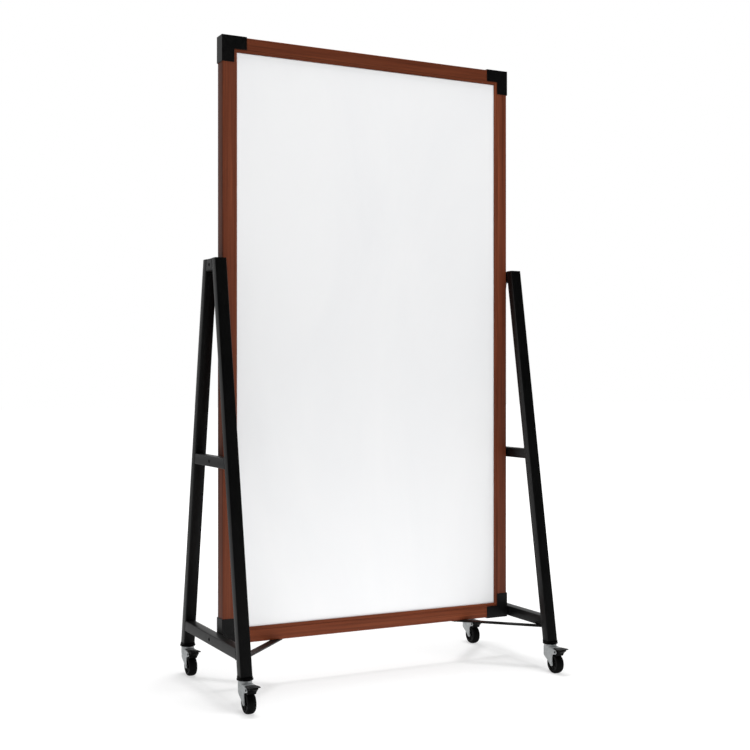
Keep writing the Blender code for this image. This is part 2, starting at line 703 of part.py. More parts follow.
def hub_mesh():
    """The wheel's plastic centre about X, with dished sides and a boss that keeps it off the fork."""
    rim = WHEEL_HALF_WIDTH - 0.0008
    dish = rim - 0.0022
    half = [
        (AXLE_RADIUS + GAP, FORK_HALF_WIDTH - FORK_PLATE - GAP),
        (HUB_BOSS_RADIUS, FORK_HALF_WIDTH - FORK_PLATE - GAP),
        (HUB_BOSS_RADIUS + 0.0010, dish),
        (HUB_RADIUS - 0.0035, dish),
        (HUB_RADIUS - 0.0025, rim),
        (HUB_RADIUS, rim),
    ]
    return turned("hub", mirrored_profile(half), ROUND_STEPS, axis="X")


def tyre_mesh():
    """The tread ring about X, with rounded shoulders."""
    shoulder = 0.0060
    centre = (WHEEL_HALF_WIDTH - shoulder, WHEEL_RADIUS - shoulder)
    half = [(HUB_RADIUS + GAP, WHEEL_HALF_WIDTH)]
    half += [(radius, place) for place, radius in arc(centre, shoulder, 0, 90, 4)]
    return turned("tyre", mirrored_profile(half), ROUND_STEPS, axis="X")


def pedal_plate_mesh():
    """The pedal's sloping top plate, about the pivot: narrow at its back, widest near its rounded toe."""
    back_y = PEDAL_BACK_Y - PEDAL_PIVOT_Y
    wide_y = PEDAL_WIDEST_Y - PEDAL_PIVOT_Y
    toe_y = PEDAL_TOE_Y - PEDAL_PIVOT_Y
    back_z, toe_z = (z - PEDAL_PIVOT_Z for z in PEDAL_TOP_Z)
    corner_x = PEDAL_HALF_WIDTH - PEDAL_CORNER
    corner_y = toe_y + PEDAL_CORNER
    plan = [(PEDAL_BACK_HALF_WIDTH, back_y), (PEDAL_HALF_WIDTH, wide_y)]
    plan += arc((corner_x, corner_y), PEDAL_CORNER, 0, -90, 4)
    plan += arc((-corner_x, corner_y), PEDAL_CORNER, -90, -180, 4)
    plan += [(-PEDAL_HALF_WIDTH, wide_y), (-PEDAL_BACK_HALF_WIDTH, back_y)]
    slope = (toe_z - back_z) / (toe_y - back_y)
    top = [(x, y, back_z + slope * (y - back_y)) for x, y in plan]
    underside = [(x, y, z - PEDAL_PLATE) for x, y, z in top]
    return loft("pedal_plate", [top, underside])


def pedal_mesh():
    """The brake pedal about its pivot: a top plate, a body with a shoe over the tread, and two trunnions."""
    body = [
        (0.0095, 0.0087),
        (-0.0205, 0.0100),
        (-0.0205, 0.0042),
        (-0.0160, 0.0022),
        (-0.0092, -0.0030),
        (-0.0068, -0.0068),
        (-0.0050, -0.0100),
        (-0.0024, -0.0122),
        (0.0002, -0.0116),
        (0.0055, -0.0040),
        (0.0090, 0.0010),
    ]
    width = PEDAL_BODY_HALF_WIDTH
    trunnion_end = FORK_HALF_WIDTH - 0.0002
    steps = [
        ("UNION", prism("pedal_body", body, "X", -width, width)),
        ("UNION", rod("pedal_trunnion", TRUNNION_RADIUS, "X", -trunnion_end, trunnion_end)),
    ]
    return combined("brake_pedal", pedal_plate_mesh(), steps)


def build_casters(materials, stand):
    plug = plug_mesh()
    stem = stem_mesh()
    fork = fork_mesh()
    axle = axle_mesh()
    hub = hub_mesh()
    tyre = tyre_mesh()
    pedal = pedal_mesh()
    for end, end_sign, plug_turn in (("front", -1, 0.0), ("rear", 1, math.pi)):
        for side, side_sign in (("left", -1), ("right", 1)):
            corner = f"{end}_{side}"
            place = (side_sign * LEG_X, end_sign * CASTER_Y, 0)
            add_object(f"{corner}_leg_plug", plug, materials["plug"], stand, place, plug_turn)
            add_object(f"{corner}_stem", stem, materials["zinc"], stand, place)
            swivel = add_axis(f"{corner}_swivel_axis", stand, place)
            roll = add_axis(f"{corner}_roll_axis", swivel, (0, -WHEEL_TRAIL, WHEEL_RADIUS))
            brake = add_axis(f"{corner}_brake_axis", swivel, (0, PEDAL_PIVOT_Y, PEDAL_PIVOT_Z))
            add_object(f"{corner}_fork", fork, materials["zinc"], swivel)
            add_object(f"{corner}_axle", axle, materials["zinc"], swivel, (0, -WHEEL_TRAIL, WHEEL_RADIUS))
            add_object(f"{corner}_hub", hub, materials["hub"], roll)
            add_object(f"{corner}_tyre", tyre, materials["tyre"], roll)
            add_object(f"{corner}_brake_pedal", pedal, materials["pedal"], brake)


def build():
    clear_scene()
    materials = make_materials()
    stand = add_axis("stand", None, (0, BOARD_PLANE_Y, 0))
    build_board(materials, stand)
    build_a_frames(materials, stand)
    build_braces(materials, stand)
    build_casters(materials, stand)


build()
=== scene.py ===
"""Looks for the rolling whiteboard.

Materials and softened edges, finer casters, leg plugs and corner caps, then the floor, light and camera.
"""

import math

import bmesh
import bpy
from mathutils import Matrix, Vector


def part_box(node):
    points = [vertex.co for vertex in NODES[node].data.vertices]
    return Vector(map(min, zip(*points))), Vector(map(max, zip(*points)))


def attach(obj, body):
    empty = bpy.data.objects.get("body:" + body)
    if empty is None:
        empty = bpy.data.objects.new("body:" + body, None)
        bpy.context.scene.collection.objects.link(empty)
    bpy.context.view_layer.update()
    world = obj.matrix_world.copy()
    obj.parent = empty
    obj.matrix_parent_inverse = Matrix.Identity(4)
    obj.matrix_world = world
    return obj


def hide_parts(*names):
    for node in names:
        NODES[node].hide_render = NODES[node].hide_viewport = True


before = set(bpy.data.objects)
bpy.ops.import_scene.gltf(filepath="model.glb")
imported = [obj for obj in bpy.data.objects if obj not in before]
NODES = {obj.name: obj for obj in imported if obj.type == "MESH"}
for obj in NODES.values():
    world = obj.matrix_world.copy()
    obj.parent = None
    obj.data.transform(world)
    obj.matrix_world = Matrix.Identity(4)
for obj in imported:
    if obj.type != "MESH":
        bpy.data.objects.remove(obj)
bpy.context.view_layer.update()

# Floor and light.
FLOOR_HALF = 30.0
FLOOR_GLOW = 0.52  # how bright the floor looks near the board before any lamp adds to it
FLOOR_WHITE = (0.9, 3.0)  # distances from the board between which that glow rises to pure white
FLOOR_MATTE = 0.50
FLOOR_BOUNCE = (1.15, 0.30)  # light that the floor throws back up: near the board, and far away
FLOOR_BOUNCE_FADE = (0.2, 2.4)  # distances between which it changes
FLOOR_MIRRORED = (0.01, 0.085)  # what shiny surfaces see of the floor: in front, and behind
SOFT_DOME = 0.25
MIRRORED_DOME = (0.008, 0.58)  # what shiny surfaces see of the dome: in front, and behind
MIRRORED_LEFT = (1.0, 0.45)  # a factor on that: elsewhere, and far to the left
FRONT_TO_BACK = (-0.35, 0.65)  # the Y of a direction, where front turns into back
TO_THE_LEFT = (-0.30, -0.75)  # the X of a direction, where elsewhere turns into left
KEY_POWER = 141
TOP_POWER = 190

# Camera.
CAMERA_PLACE = Vector((-1.7055, -3.3536, 0.900))  # from the point on the floor under the board
CAMERA_TURN = -27.2
CAMERA_LENS = 59.47
CAMERA_SHIFT = 0.0013

# Facets, gaps and small edges.
ROUND_STEPS = 96  # facets round a wheel
BORE_STEPS = 48  # and round a bore or a pin
CLEARANCE = 0.0003  # the gap that the CAD leaves between neighbouring pieces
SOFT_EDGE = 0.0004
FINE_EDGE = 0.0003
SHARP_ANGLE = math.radians(40)  # edges that turn less than this are left as they are
EDGE_WIDTHS = {"_stile": 0.0010, "_rail": 0.0010, "_panel": 0.0001, "_core": 0.0001, "_brace": 0.0008}

# The casters' forks, about the swivel axis.
CROWN_RADIUS = 0.0192
CROWN_EDGE = 0.0016
CROWN_TOP = 0.0020
CROWN_SKIRT_Z = 0.0640  # the crown is round down to here, and narrows below
SKIRT_DROP = 0.0080
SKIRT_TAPER = 0.0045
SKIRT_SQUARENESS = 3.5
SKIRT_STEPS = 8
FORK_HALF_WIDTH = 0.0155
FORK_PLATE = 0.0018
FORK_ROOM_HALF = FORK_HALF_WIDTH - FORK_PLATE
FOOT_RADIUS = 0.0070
FOOT_BACK = 0.0007  # how far the middle of the fork's foot is behind the axle
EAR_RADIUS = 0.0066
BRIDGE_Y = -0.0340  # the fork's top plate ends here, to leave room for the pedal
CUT_Z = (0.07, 0.12)  # heights of a cutter that goes through the fork's top
FAR_FRONT_Y = -0.12  # well in front of the fork
PIN_REACH = 0.05  # half the length of a cutter that goes through both side plates

# Their stem, axle and wheel.
STEM_RADIUS = 0.0045
STEM_TOP_Z = 0.1120
AXLE_RADIUS = 0.0025
RIVET_RADIUS = 0.0045
RIVET_RIM = 0.0003
RIVET_RISE = 0.0010
HUB_RADIUS = 0.0222
HUB_RIM = 0.0022
HUB_RECESS = 0.0008
WEB_DEPTH = 0.0028
BOSS_RADIUS = 0.0060
BOSS_EDGE = 0.0006
HUB_RIBS = 6
RIB_HALF = 0.0009
RIB_RECESS = 0.0009
TREAD_STEPS = 14
TREAD_FULLNESS = 0.72  # 1 for an elliptical tread, and less for a squarer one
SEAM_RISE = 0.00015
SEAM_HALF_WIDTHS = (0.00045, 0.00025)  # of the tread's moulding line, at its foot and at its top

# Their brake pedal.
PIVOT = (-0.0455, 0.0680)  # (y, z)
TRUNNION_RADIUS = 0.0027
PEDAL_PIN_RADIUS = 0.0035
PEDAL_BACK = (-0.0365, 0.0785)  # (y, z) of the plate's top edge at its back
PEDAL_TOE = (-0.0715, 0.0795)  # and at its toe
PEDAL_HALF_WIDTHS = (0.0135, 0.0175)  # at its back, and from PEDAL_WIDE_Y to its toe
PEDAL_WIDE_Y = -0.0600
PEDAL_CORNER = 0.0035
PEDAL_PLATE = 0.0024
PEDAL_BODY_HALF_WIDTH = 0.0122
GRIP_Y = (-0.0555, -0.0590, -0.0625, -0.0660)
GRIP_HALF_LENGTH = 0.0115
GRIP_RISE = 0.00045

# The leg plugs.
LEG_HALF_DEPTH = 0.01523  # measured level, across a leaning leg
LEG_CORNER = 0.0026
LEG_WALL = 0.0015
LEG_LEAN = math.tan(math.radians(10))
COLLAR_WALL = 0.0012
COLLAR_HEIGHT = 0.0062
COLLAR_STEPS = 10
FLARE_POWER = 2.4  # how quickly the flange's flare dies away up the collar
SOCKET_HEIGHT = 0.02

# The corner caps.
CAP_REACH = 0.0354  # from the board's outer edge to the cap's inner edge
CAP_ROUND = 0.0012
CAP_LIP = 0.0005
CAP_SEAM = 0.00035  # depth of the seam along the mitre, and half its width
BOLT_HOLE_RADIUS = 0.0033

CORNERS = ("front_left", "front_right", "rear_left", "rear_right")


# ---- places read from the frame ------------------------------------------------------------------
def middle(node):
    low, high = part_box(node)
    return (low + high) / 2


def size(node):
    low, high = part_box(node)
    return high - low


BOARD = middle("board_core")
HALF_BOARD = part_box("right_stile")[1].x
HALF_THICKNESS = size("right_stile").y / 2
CAP_ARM = size("top_right_cap").x
CAP_SIDE_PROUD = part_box("top_right_cap")[1].x - HALF_BOARD
CAP_HALF_DEPTH = size("top_right_cap").y / 2
CROWN_TOP_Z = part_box("front_left_fork")[1].z
WHEEL_RADIUS = size("front_left_tyre").z / 2
WHEEL_HALF_WIDTH = size("front_left_tyre").x / 2
WHEEL_TRAIL = middle("front_left_stem").y - middle("front_left_tyre").y
FLANGE_RADIUS = size("front_left_leg_plug").x / 2
PLUG_BOTTOM_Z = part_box("front_left_leg_plug")[0].z
PLUG_TOP_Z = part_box("front_left_leg_plug")[1].z
LEG_HALF_WIDTH = size("left_front_leg").x / 2
LEG_FOOT_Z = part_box("left_front_leg")[0].z
AXLE = (-WHEEL_TRAIL, WHEEL_RADIUS)  # (y, z)


# ---- node helpers --------------------------------------------------------------------------------
def grey(value):
    return (value, value, value, 1.0)


class Shader:
    """One material, and short ways to add nodes to its tree."""

    def __init__(self, name):
        self.material = bpy.data.materials.new(name)
        self.material.use_nodes = True
        self.nodes = self.material.node_tree.nodes
        self.links = self.material.node_tree.links
        self.surface = self.nodes["Principled BSDF"]
        self.coordinates = self.add("ShaderNodeTexCoord").outputs["Object"]

    def add(self, kind, **settings):
        node = self.nodes.new(kind)
        for key, value in settings.items():
            setattr(node, key, value)
        return node

    def set(self, **inputs):
        """Values or sockets for the surface's inputs, with underscores for spaces."""
        for key, value in inputs.items():
            self.feed(self.surface.inputs[key.replace("_", " ")], value)

    def feed(self, socket, value):
        if isinstance(value, bpy.types.NodeSocket):
            self.links.new(value, socket)
        else:
            socket.default_value = value

    def stretched(self, scale, shift=(0, 0, 0)):
        """Object coordinates scaled by (x, y, z), so that noise can run along a grain."""
        mapping = self.add("ShaderNodeMapping")
        mapping.inputs["Scale"].default_value = scale
        mapping.inputs["Location"].default_value = shift
        self.links.new(self.coordinates, mapping.inputs["Vector"])
        return mapping.outputs["Vector"]

    def noise(self, vector, scale=1.0, detail=4.0, roughness=0.5, distortion=0.0):
        node = self.add("ShaderNodeTexNoise")
        self.links.new(vector, node.inputs["Vector"])
        node.inputs["Scale"].default_value = scale
        node.inputs["Detail"].default_value = detail
        node.inputs["Roughness"].default_value = roughness
        node.inputs["Distortion"].default_value = distortion
        return node.outputs["Fac"]

    def ramp(self, factor, stops):
        node = self.add("ShaderNodeValToRGB")
        elements = node.color_ramp.elements
        while len(elements) < len(stops):
            elements.new(0.5)
        for element, (place, colour) in zip(elements, stops):
            element.position = place
            element.color = colour
        self.links.new(factor, node.inputs["Fac"])
        return node.outputs["Color"]

    def scaled(self, factor, low, high, from_low=0.0, from_high=1.0):
        node = self.add("ShaderNodeMapRange")
        self.links.new(factor, node.inputs["Value"])
        node.inputs["From Min"].default_value = from_low
        node.inputs["From Max"].default_value = from_high
        node.inputs["To Min"].default_value = low
        node.inputs["To Max"].default_value = high
        return node.outputs["Result"]

    def facing_up(self):
        """0 on upright faces, and 1 on level ones that look up."""
        split = self.add("ShaderNodeSeparateXYZ")
        self.links.new(self.add("ShaderNodeNewGeometry").outputs["Normal"], split.inputs[0])
        return self.scaled(split.outputs["Z"], 0.0, 1.0, 0.6, 0.95)

    def mixed(self, factor, first, second, blend="MIX"):
        node = self.add("ShaderNodeMix", data_type="RGBA", blend_type=blend)
        self.feed(node.inputs[0], factor)
        self.feed(node.inputs[6], first)
        self.feed(node.inputs[7], second)
        return node.outputs[2]

    def bump(self, height, strength, distance, below=None):
        node = self.add("ShaderNodeBump")
        node.inputs["Strength"].default_value = strength
        node.inputs["Distance"].default_value = distance
        self.links.new(height, node.inputs["Height"])
        if below is not None:
            self.links.new(below, node.inputs["Normal"])
        return node.outputs["Normal"]


# ---- materials -----------------------------------------------------------------------------------
def make_wood(name, grain_axis, seed, painted_light_tone, shine):
    """Reddish wood-look laminate whose fine streaks run along grain_axis (0 for X, 2 for Z). Its browns are
    scaled by a factor: below 1 that is painted shade, above 1 painted light.
    """
    shader = Shader(name)

    def along(across_scale, along_scale):
        scale = [across_scale] * 3
        scale[grain_axis] = along_scale
        return shader.stretched(scale, (seed, seed * 1.7, seed * 0.6))

    bands = shader.noise(along(55, 1.1), detail=3, roughness=0.55, distortion=0.3)
    streaks = shader.noise(along(420, 4.5), detail=5, roughness=0.62, distortion=0.2)
    pores = shader.noise(along(1500, 28), detail=2, roughness=0.5)
    browns = ((0.30, 0.108, 0.0255, 0.0105), (0.52, 0.138, 0.0335, 0.0135), (0.72, 0.176, 0.0450, 0.0178))
    # The browns are scaled by the given factor: below 1 is painted shade, above 1 painted light.
    stops = [(place, (red * painted_light_tone, green * painted_light_tone, blue * painted_light_tone, 1)) for place, red, green, blue in browns]
    base = shader.ramp(bands, stops)
    streak_tone = shader.ramp(streaks, [(0.30, grey(0.66)), (0.50, grey(0.97)), (0.72, grey(1.28))])
    toned = shader.mixed(1.0, base, streak_tone, "MULTIPLY")
    pore_tone = shader.ramp(pores, [(0.30, grey(0.62)), (0.42, grey(1.0))])
    shader.set(Base_Color=shader.mixed(0.55, toned, pore_tone, "MULTIPLY"))
    shader.set(Roughness=shader.scaled(streaks, 0.42, 0.56), Specular_IOR_Level=shine)
    shader.set(Normal=shader.bump(pores, 0.16, 0.0004))
    return shader.material


def make_enamel():
    """White dry-erase enamel: almost flat, with a faint long ripple and a trace of wiped marker."""
    shader = Shader("white_enamel")
    wipe = shader.noise(shader.stretched((3.2, 3.2, 1.1)), detail=5, roughness=0.6, distortion=0.8)
    whites = [(0.30, (0.790, 0.795, 0.805, 1)), (0.60, (0.815, 0.818, 0.824, 1))]
    shader.set(Base_Color=shader.ramp(wipe, whites))
    shader.set(Roughness=shader.scaled(wipe, 0.20, 0.30))
    ripple = shader.noise(shader.stretched((14, 14, 14)), detail=2)
    shader.set(Normal=shader.bump(ripple, 0.04, 0.001))
    shader.set(Coat_Weight=0.3, Coat_Roughness=0.12)
    return shader.material


def make_powder_coat():
    """Black powder coat: a fine orange-peel skin, with patches that are a shade greyer and rougher."""
    shader = Shader("black_powder_coat")
    peel = shader.noise(shader.stretched((900, 900, 900)), detail=2, roughness=0.5)
    patches = shader.noise(shader.stretched((9, 9, 9)), detail=4, roughness=0.6)
    shader.set(Base_Color=shader.ramp(patches, [(0.35, grey(0.0012)), (0.70, grey(0.0024))]))
    shader.set(Roughness=shader.scaled(patches, 0.32, 0.42), Specular_IOR_Level=0.22)
    shader.set(Sheen_Weight=0.06, Sheen_Roughness=0.3)
    shader.set(Normal=shader.bump(peel, 0.22, 0.00025))
    return shader.material


def make_plastic(name, value, roughness, grain_scale, grain_strength, specular=0.3, dust_and_painted_highlight=0.0):
    """Moulded black plastic with a fine spark-eroded grain, and a painted highlight: a lighter grey on the
    faces that look up, where the overhead light would shine.
    """
    shader = Shader(name)
    grain = shader.noise(shader.stretched((grain_scale,) * 3), detail=3, roughness=0.6)
    cloud = shader.noise(shader.stretched((40, 40, 40)), detail=3)
    plain = shader.ramp(cloud, [(0.35, grey(value * 0.8)), (0.65, grey(value * 1.25))])
    # Painted highlight: faces that look up are mixed towards a lighter grey.
    shader.set(Base_Color=shader.mixed(shader.facing_up(), plain, grey(value + dust_and_painted_highlight)))
    shader.set(Roughness=shader.scaled(grain, roughness - 0.06, roughness + 0.08))
    shader.set(Specular_IOR_Level=specular)
    shader.set(Normal=shader.bump(grain, grain_strength, 0.0002))
    return shader.material


def make_zinc():
    """Bright zinc plate on pressed steel: cool grey, with faint cloudy patches and fine rolling marks."""
    shader = Shader("zinc_plate")
    cloud = shader.noise(shader.stretched((120, 120, 120)), detail=5, roughness=0.65, distortion=0.6)
    marks = shader.noise(shader.stretched((900, 900, 120)), detail=3, roughness=0.6)
    greys = ((0.30, 0.40, 0.420, 0.425), (0.55, 0.48, 0.500, 0.505), (0.75, 0.56, 0.575, 0.575))
    shader.set(Base_Color=shader.ramp(cloud, [(place, (*colour, 1)) for place, *colour in greys]))
    shader.set(Roughness=shader.scaled(cloud, 0.30, 0.48), Metallic=0.70)
    shader.set(Normal=shader.bump(marks, 0.10, 0.0002))
    return shader.material


def make_rubber():
    """Black tread rubber with a soft mould texture and a trace of floor dust."""
    shader = Shader("black_tread")
    mould = shader.noise(shader.stretched((700, 700, 700)), detail=3, roughness=0.6)
    dust_and_painted_highlight = shader.noise(shader.stretched((60, 60, 60)), detail=5, roughness=0.7)
    shader.set(Base_Color=shader.ramp(dust_and_painted_highlight, [(0.40, grey(0.0010)), (0.75, grey(0.0030))]))
    shader.set(Roughness=shader.scaled(mould, 0.50, 0.66), Specular_IOR_Level=0.12)
    shader.set(Normal=shader.bump(mould, 0.20, 0.0003))
    return shader.material


def make_dark_steel():
    """Black-oxide steel for the bolts and screws."""
    shader = Shader("black_oxide_steel")
    cloud = shader.noise(shader.stretched((300, 300, 300)), detail=4)
    shader.set(Base_Color=shader.ramp(cloud, [(0.35, grey(0.015)), (0.70, grey(0.045))]))
    shader.set(Metallic=0.9, Roughness=shader.scaled(cloud, 0.35, 0.5))
    return shader.material


def make_core():
    """The board's inner sheet, seen nowhere from outside."""
    shader = Shader("core_board")
    fibre = shader.noise(shader.stretched((300, 300, 300)), detail=4)
    shader.set(Base_Color=shader.ramp(fibre, [(0.3, (0.36, 0.25, 0.14, 1)), (0.7, (0.50, 0.37, 0.23, 1))]))
    shader.set(Roughness=0.9)
    return shader.material


MATERIALS = {
    "upright_wood": make_wood("wood_grain_upright", grain_axis=2, seed=1.3, painted_light_tone=1.0, shine=0.25),
    # The two rails use one wood (same seed): the top rail's copy is darkened to 0.76 as painted shade, and
    # the bottom rail's is brightened to 1.05 as painted light.
    "top_wood": make_wood("wood_grain_top_painted_shade", grain_axis=0, seed=4.1, painted_light_tone=0.76, shine=0.13),
    "bottom_wood": make_wood("wood_grain_bottom_painted_light", grain_axis=0, seed=4.1, painted_light_tone=1.05, shine=0.10),
    "white": make_enamel(),
    "core": make_core(),
    "cap": make_plastic("black_cap_plastic", value=0.0024, roughness=0.38, grain_scale=1100,
                        grain_strength=0.12),
    "frame": make_powder_coat(),
    "bolt": make_dark_steel(),
    "plug": make_plastic("black_plug_plastic", value=0.0008, roughness=0.50, grain_scale=1300,
                         grain_strength=0.12, specular=0.08),
    "zinc": make_zinc(),
    "hub": make_plastic("black_wheel_plastic", value=0.0020, roughness=0.44, grain_scale=1300,
                        grain_strength=0.10, specular=0.2),
    "tyre": make_rubber(),
    # The pedal's faces that look up are lightened by 0.030 as a painted highlight.
    "pedal": make_plastic("black_pedal_plastic", value=0.0016, roughness=0.42, grain_scale=1400,
                          grain_strength=0.12, specular=0.10, dust_and_painted_highlight=0.030),
}

LOOKS = {
    "_panel": "white", "_core": "core", "_cap": "cap", "_bolt": "bolt", "_screw": "bolt", "_plug": "plug",
    "_stem": "zinc", "_fork": "zinc", "_axle": "zinc", "_hub": "hub", "_tyre": "tyre", "_pedal": "pedal",
    "_stile": "upright_wood", "top_rail": "top_wood", "bottom_rail": "bottom_wood",
}


def by_ending(table, node, otherwise):
    """The table's entry for the way that a node's name ends."""
    return next((value for ending, value in table.items() if node.endswith(ending)), otherwise)


def dress(obj, look):
    obj.data.materials.clear()
    obj.data.materials.append(MATERIALS[look])


# ---- softened edges on the carried-over solids ---------------------------------------------------
def soften(obj, width, segments=2):
    """Welds an imported mesh back together and rounds its sharper edges."""
    custom = obj.data.attributes.get("custom_normal")
    if custom is not None:
        obj.data.attributes.remove(custom)
    obj.data.shade_smooth()
    weld = obj.modifiers.new("weld", "WELD")
    weld.merge_threshold = 1e-5
    bevel = obj.modifiers.new("bevel", "BEVEL")
    bevel.width = width
    bevel.segments = segments
    bevel.limit_method = "ANGLE"
    bevel.angle_limit = SHARP_ANGLE
    bevel.harden_normals = True


def dress_frame():
    """Looks and soft edges for the CAD's own meshes. What isn't listed in LOOKS is powder coated."""
    for name, node in NODES.items():
        dress(node, by_ending(LOOKS, name, "frame"))
        soften(node, by_ending(EDGE_WIDTHS, name, FINE_EDGE))


# ---- mesh helpers for the finer shapes -----------------------------------------------------------
def closed_mesh(bm, name):
    """A finished mesh with its faces turned outwards, shaded smooth."""
    bmesh.ops.remove_doubles(bm, verts=bm.verts, dist=1e-7)
    bmesh.ops.recalc_face_normals(bm, faces=bm.faces)
    mesh = bpy.data.meshes.new(name)
    bm.to_mesh(mesh)
    bm.free()
    mesh.shade_smooth()
    return mesh


def bridge(bm, ring_a, ring_b):
    """Quads between two rings that have the same number of points."""
    count = len(ring_a)
    for i in range(count):
        j = (i + 1) % count
        bm.faces.new((ring_a[i], ring_a[j], ring_b[j], ring_b[i]))


def loft(name, rings):
    """A solid through rings of points, closed at both ends."""
    bm = bmesh.new()
    placed = [[bm.verts.new(point) for point in ring] for ring in rings]
    for ring_a, ring_b in zip(placed, placed[1:]):
        bridge(bm, ring_a, ring_b)
    bm.faces.new(placed[0])
    bm.faces.new(placed[-1])
    return closed_mesh(bm, name)


def plate(name, outline, low, high):
    """A (y, z) outline given its thickness along X."""
    return loft(name, [[(x, y, z) for y, z in outline] for x in (low, high)])


def slab(name, outline, low, high):
    """An (x, y) outline given its height along Z."""
    return loft(name, [[(x, y, z) for x, y in outline] for z in (low, high)])


def arc(centre, radius, start_deg, end_deg, steps):
    """Points along an arc, both ends included."""
    points = []
    for i in range(steps + 1):
        angle = math.radians(start_deg + (end_deg - start_deg) * i / steps)
        points.append((centre[0] + radius * math.cos(angle), centre[1] + radius * math.sin(angle)))
    return points


def circle(centre, radius):
    return arc(centre, radius, 0, 360 * (1 - 1 / BORE_STEPS), BORE_STEPS - 1)


def smooth_path(points, steps=6):
    """A Catmull-Rom curve through points, with that many pieces to each stretch."""
    padded = [points[0], *points, points[-1]]
    path = [points[0]]
    for before, start, end, after in zip(padded, padded[1:], padded[2:], padded[3:]):
        for i in range(1, steps + 1):
            t = i / steps
            weights = (-t + 2 * t**2 - t**3, 2 - 5 * t**2 + 3 * t**3, t + 4 * t**2 - 3 * t**3, t**3 - t**2)
            path.append(tuple(
                sum(w * p[k] for w, p in zip(weights, (before, start, end, after))) / 2 for k in (0, 1)
            ))
    return path


def turned(name, profile, steps=ROUND_STEPS, axis="Z"):
    """A closed profile of (radius, height) points turned about an axis. Radius 0 closes it on the axis."""
    bm = bmesh.new()
    rings = []
    for radius, height in profile:
        if radius == 0:
            rings.append([bm.verts.new((0, 0, height))])
            continue
        angles = [2 * math.pi * i / steps for i in range(steps)]
        rings.append([bm.verts.new((radius * math.cos(a), radius * math.sin(a), height)) for a in angles])
    for ring_a, ring_b in zip(rings, rings[1:] + rings[:1]):
        if len(ring_a) == 1 and len(ring_b) == 1:
            continue
        for i in range(steps):
            places = ((ring_a, i), (ring_a, i + 1), (ring_b, i + 1), (ring_b, i))
            corners = [ring[k % len(ring)] for ring, k in places]
            bm.faces.new(list(dict.fromkeys(corners)))
    if axis == "X":
        bmesh.ops.rotate(bm, verts=bm.verts, matrix=Matrix.Rotation(math.radians(90), 3, "Y"))
    return closed_mesh(bm, name)


def mirrored(half):
    """A turned profile that is the same on both sides of height 0, from its upper half."""
    return half + [(radius, -height) for radius, height in reversed(half)]


def rod_x(name, radius, reach, across):
    """A cutter or pin along X, from -reach to reach. Its place across X is (y, z)."""
    return plate(name, circle(across, radius), -reach, reach)


def combined(name, blank, steps):
    """One mesh from a blank and a list of (operation, mesh) steps, worked out with exact Booleans."""
    body = bpy.data.objects.new(name, blank)
    helpers = [body]
    for index, (operation, mesh) in enumerate(steps):
        tool = bpy.data.objects.new(f"{name}_tool_{index}", mesh)
        modifier = body.modifiers.new(f"step_{index}", "BOOLEAN")
        modifier.operation = operation
        modifier.solver = "EXACT"
        modifier.object = tool
        helpers.append(tool)
    for helper in helpers:
        bpy.context.scene.collection.objects.link(helper)
    mesh = bpy.data.meshes.new_from_object(body.evaluated_get(bpy.context.evaluated_depsgraph_get()))
    for helper in helpers:
        bpy.data.objects.remove(helper, do_unlink=True)
    mesh.materials.clear()
    mesh.name = name
    mesh.shade_smooth()
    return mesh


def add_piece(name, mesh, place, look, body, nodes, edge=0.0):
    """A copy of a mesh at a place, riding on a body and standing for CAD nodes."""
    shape = mesh.copy()
    shape.transform(Matrix.Translation(place))
    piece = bpy.data.objects.new(name, shape)
    bpy.context.scene.collection.objects.link(piece)
    dress(piece, look)
    if edge:
        soften(piece, edge, segments=3)
    else:
        piece.modifiers.new("normals", "WEIGHTED_NORMAL").weight = 100
    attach(piece, body)
    if nodes:
        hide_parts(*nodes)
    return piece


# ---- finer casters, each about its own swivel axis -----------------------------------------------
def squared_ring(half_x, half_y, squareness, steps):
    """Points round a superellipse: an ellipse at squareness 2, and close to a rectangle at 8 or more."""
    points = []
    for i in range(steps):
        angle = 2 * math.pi * i / steps
        cosine, sine = math.cos(angle), math.sin(angle)
        reach = (abs(cosine / half_x) ** squareness + abs(sine / half_y) ** squareness) ** (-1 / squareness)
        points.append((reach * cosine, reach * sine))
    return points


def rounded_rectangle(half_x, half_y, radius):
    points = []
    for sign_x, sign_y, start in ((1, 1, 0), (-1, 1, 90), (-1, -1, 180), (1, -1, 270)):
        centre = (sign_x * (half_x - radius), sign_y * (half_y - radius))
        points += arc(centre, radius, start, start + 90, 6)
    return points


def leg_section(spread, corner):
    """A leg's level section, made larger on every side by spread."""
    return rounded_rectangle(LEG_HALF_WIDTH + spread, LEG_HALF_DEPTH + spread, corner)


def leaning_ring(section, z):
    """A section at height z, moved so that it stays centred in a leg that leans towards the board."""
    return [(x, y + (z - LEG_FOOT_Z) * LEG_LEAN, z) for x, y in section]


def collar_section(rise):
    """The collar's section at a share of its height: round at its foot, and shaped like the leg above."""
    flare = (1 - rise) ** FLARE_POWER
    foot = FLANGE_RADIUS - SOFT_EDGE
    top_x = LEG_HALF_WIDTH + COLLAR_WALL
    top_y = LEG_HALF_DEPTH + COLLAR_WALL
    half_x = top_x + (foot - top_x) * flare
    half_y = top_y + (foot - top_y) * flare
    corner_share = (half_x + half_y) / math.sqrt(2) / (FLANGE_RADIUS - SOFT_EDGE / 2)
    squareness = max(2.0, math.log(2) / math.log(corner_share))
    return squared_ring(half_x, half_y, squareness, ROUND_STEPS)


